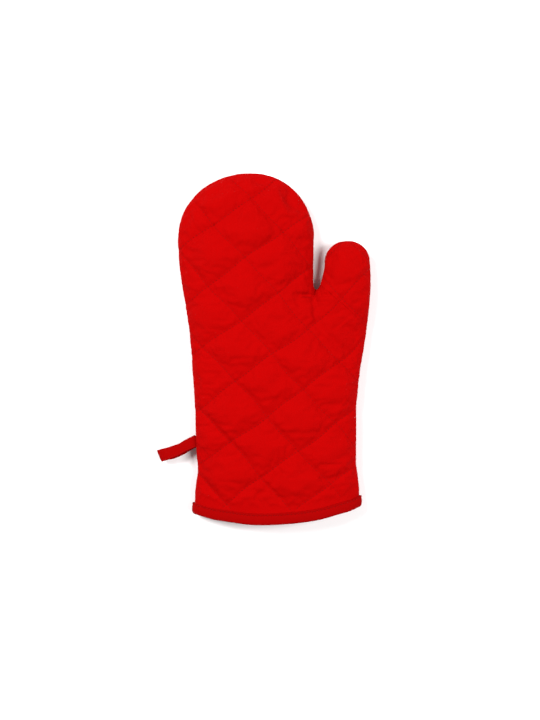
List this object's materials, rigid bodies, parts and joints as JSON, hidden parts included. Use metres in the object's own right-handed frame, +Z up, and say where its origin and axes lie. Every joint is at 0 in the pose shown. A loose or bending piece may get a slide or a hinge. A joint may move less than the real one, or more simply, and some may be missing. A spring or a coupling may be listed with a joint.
{
  "type": "oven mitt",
  "caption": "Quilted cotton oven mitt lying flat: padded palm and back panels, lined finger and thumb pockets, a bound curved cuff and a hanging loop in the side seam.",
  "frame": {"origin": "on the resting plane, under the middle of the palm", "axes": "+X towards the thumb, +Y from the cuff to the fingertips, +Z up, out of the palm side; the back panel rests on Z = 0"},
  "size_m": [0.1998, 0.3306, 0.028],
  "materials": {
    "shell_cloth": "matte",
    "wadding": "matte",
    "lining_cloth": "matte",
    "binding_tape": "matte",
    "loop_tape": "matte",
    "sewing_thread": "satin"
  },
  "bodies": {
    "hand": {"palm_shell_hand": "shell_cloth", "palm_padding_hand": "wadding", "palm_lining_hand": "lining_cloth", "back_shell_hand": "shell_cloth", "back_padding_hand": "wadding", "back_lining_hand": "lining_cloth", "side_seam_thread_hand": "sewing_thread", "cuff_binding": "binding_tape", "cuff_binding_thread": "sewing_thread", "hanging_loop_tails": "loop_tape"},
    "fingers": {"palm_shell_fingers": "shell_cloth", "palm_padding_fingers": "wadding", "palm_lining_fingers": "lining_cloth", "back_shell_fingers": "shell_cloth", "back_padding_fingers": "wadding", "back_lining_fingers": "lining_cloth", "side_seam_thread_fingers": "sewing_thread"},
    "thumb": {"palm_shell_thumb": "shell_cloth", "palm_padding_thumb": "wadding", "palm_lining_thumb": "lining_cloth", "back_shell_thumb": "shell_cloth", "back_padding_thumb": "wadding", "back_lining_thumb": "lining_cloth", "side_seam_thread_thumb": "sewing_thread"},
    "loop": {"hanging_loop": "loop_tape", "hanging_loop_thread": "sewing_thread"}
  },
  "joints": [
    {"name": "finger_curl", "type": "hinge", "parent": "hand", "child": "fingers", "pos_m": [-0.029, 0.0805, 0.0283], "axis": [1, 0, 0], "range_deg": [0, 90]},
    {"name": "thumb_fold", "type": "hinge", "parent": "hand", "child": "thumb", "pos_m": [0.0445, 0.055, 0.0243], "axis": [0.7547, -0.6561, 0], "range_deg": [0, 60]},
    {"name": "loop_swing", "type": "hinge", "parent": "hand", "child": "loop", "pos_m": [-0.0783, -0.088, 0.01], "axis": [0, 1, 0], "range_deg": [-30, 90]}
  ]
}
